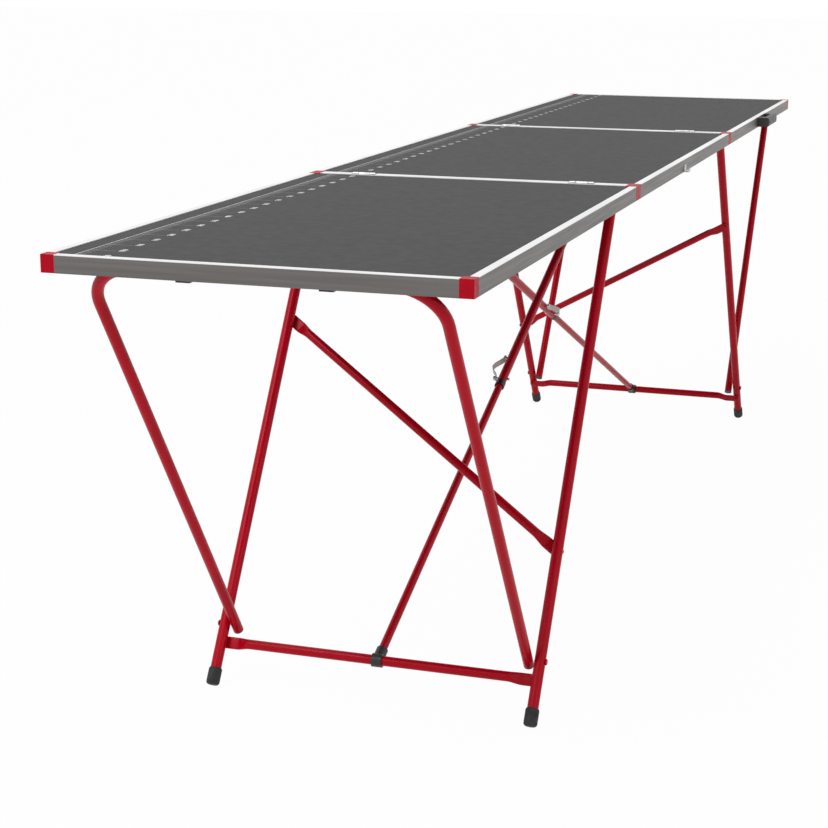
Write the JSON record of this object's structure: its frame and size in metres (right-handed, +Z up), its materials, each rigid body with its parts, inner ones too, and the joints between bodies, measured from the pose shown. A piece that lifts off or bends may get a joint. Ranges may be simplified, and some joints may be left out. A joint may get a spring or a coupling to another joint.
{
  "type": "folding trestle table",
  "caption": "Long three-section folding work table with a dark top, aluminium rims and red tubular trestles",
  "frame": {"origin": "floor level, under the middle of the bounding box", "axes": "X along the table from the near end to the far end, Y across it, Z up"},
  "size_m": [2.999, 0.627, 0.783],
  "materials": {
    "board": "matt dark grey laminate",
    "aluminium": "satin",
    "red_plastic": "semi-gloss",
    "red_steel": "semi-gloss",
    "zinc_steel": "zinc plated",
    "rubber": "matt",
    "black_plastic": "matt",
    "grey_strap": "matt"
  },
  "bodies": {
    "middle": {"middle_board": "board", "middle_side_rails": "aluminium", "middle_end_rails": "aluminium", "middle_corner_caps": "red_plastic", "near_middle_leaves": "zinc_steel", "near_hinge_pins": "zinc_steel", "far_middle_leaves": "zinc_steel", "far_hinge_pins": "zinc_steel", "near_stay_bracket": "zinc_steel", "far_stay_bracket": "zinc_steel", "transport_hook": "zinc_steel"},
    "near_panel": {"near_board": "board", "near_side_rails": "aluminium", "near_end_rails": "aluminium", "near_corner_caps": "red_plastic", "near_hinge_leaves": "zinc_steel", "near_leg_brackets": "zinc_steel", "near_bow_clips": "black_plastic"},
    "far_panel": {"far_board": "board", "far_side_rails": "aluminium", "far_end_rails": "aluminium", "far_corner_caps": "red_plastic", "far_hinge_leaves": "zinc_steel", "far_leg_brackets": "zinc_steel", "far_bow_clips": "black_plastic", "handle": "black_plastic", "handle_screws": "zinc_steel"},
    "near_leg": {"near_legs": "red_steel", "near_feet": "rubber", "near_crossbar": "red_steel", "near_brace": "red_steel", "near_rivets": "red_steel"},
    "near_bow": {"near_bow": "red_steel", "near_bow_plugs": "black_plastic"},
    "near_stay_lower": {"near_stay_bush": "black_plastic", "near_stay_lower_tube": "red_steel"},
    "near_stay_upper": {"near_stay_upper_tube": "red_steel", "near_stay_collar": "black_plastic", "near_tether_stud": "zinc_steel", "near_tether": "grey_strap"},
    "near_pin": {"near_lock_pin": "zinc_steel"},
    "far_leg": {"far_legs": "red_steel", "far_feet": "rubber", "far_crossbar": "red_steel", "far_brace": "red_steel", "far_rivets": "red_steel"},
    "far_bow": {"far_bow": "red_steel", "far_bow_plugs": "black_plastic"},
    "far_stay_lower": {"far_stay_bush": "black_plastic", "far_stay_lower_tube": "red_steel"},
    "far_stay_upper": {"far_stay_upper_tube": "red_steel", "far_stay_collar": "black_plastic", "far_tether_stud": "zinc_steel", "far_tether": "grey_strap"},
    "far_pin": {"far_lock_pin": "zinc_steel"}
  },
  "joints": [
    {"name": "near_fold", "type": "hinge", "parent": "middle", "child": "near_panel", "pos_m": [-0.5, 0.0135, 0.7805], "axis": [0, 1, 0], "range_deg": [0, 90]},
    {"name": "far_fold", "type": "hinge", "parent": "middle", "child": "far_panel", "pos_m": [0.5, 0.0135, 0.7805], "axis": [0, -1, 0], "range_deg": [0, 179.5]},
    {"name": "near_leg_fold", "type": "hinge", "parent": "near_panel", "child": "near_leg", "pos_m": [-0.56, 0.0135, 0.7625], "axis": [0, 1, 0], "range_deg": [0, 51]},
    {"name": "near_bow_fold", "type": "hinge", "parent": "near_panel", "child": "near_bow", "pos_m": [-1.475, 0.0135, 0.7625], "axis": [0, -1, 0], "range_deg": [0, 23]},
    {"name": "near_stay_lower_fold", "type": "hinge", "parent": "near_leg", "child": "near_stay_lower", "pos_m": [-1.0122, 0.0105, 0.06417], "axis": [0, -1, 0], "range_deg": [0, 29]},
    {"name": "near_stay_upper_fold", "type": "hinge", "parent": "middle", "child": "near_stay_upper", "pos_m": [0.47, -0.0225, 0.7625], "axis": [0, 1, 0], "range_deg": [0, 25.22]},
    {"name": "near_pin_pull", "type": "slide", "parent": "near_stay_upper", "child": "near_pin", "axis": [0, 1, 0], "range_m": [0, 0.024]},
    {"name": "far_leg_fold", "type": "hinge", "parent": "far_panel", "child": "far_leg", "pos_m": [0.56, 0.0135, 0.7625], "axis": [0, -1, 0], "range_deg": [0, 51]},
    {"name": "far_bow_fold", "type": "hinge", "parent": "far_panel", "child": "far_bow", "pos_m": [1.475, 0.0135, 0.7625], "axis": [0, 1, 0], "range_deg": [0, 23]},
    {"name": "far_stay_lower_fold", "type": "hinge", "parent": "far_leg", "child": "far_stay_lower", "pos_m": [1.0122, 0.0165, 0.06417], "axis": [0, 1, 0], "range_deg": [0, 29]},
    {"name": "far_stay_upper_fold", "type": "hinge", "parent": "middle", "child": "far_stay_upper", "pos_m": [-0.47, 0.1335, 0.7625], "axis": [0, -1, 0], "range_deg": [0, 25.22]},
    {"name": "far_pin_pull", "type": "slide", "parent": "far_stay_upper", "child": "far_pin", "axis": [0, -1, 0], "range_m": [0, 0.024]}
  ],
  "couplings": [
    {"joint": "near_leg_fold", "follows": "near_fold", "ratio": 0.56667},
    {"joint": "near_bow_fold", "follows": "near_fold", "ratio": 0.25556},
    {"joint": "near_stay_lower_fold", "follows": "near_fold", "ratio": 0.32222},
    {"joint": "near_stay_upper_fold", "follows": "near_fold", "ratio": 0.28022},
    {"joint": "far_leg_fold", "follows": "far_fold", "ratio": 0.28412},
    {"joint": "far_bow_fold", "follows": "far_fold", "ratio": 0.12813},
    {"joint": "far_stay_lower_fold", "follows": "far_fold", "ratio": 0.16156},
    {"joint": "far_stay_upper_fold", "follows": "far_fold", "ratio": 0.1405}
  ]
}
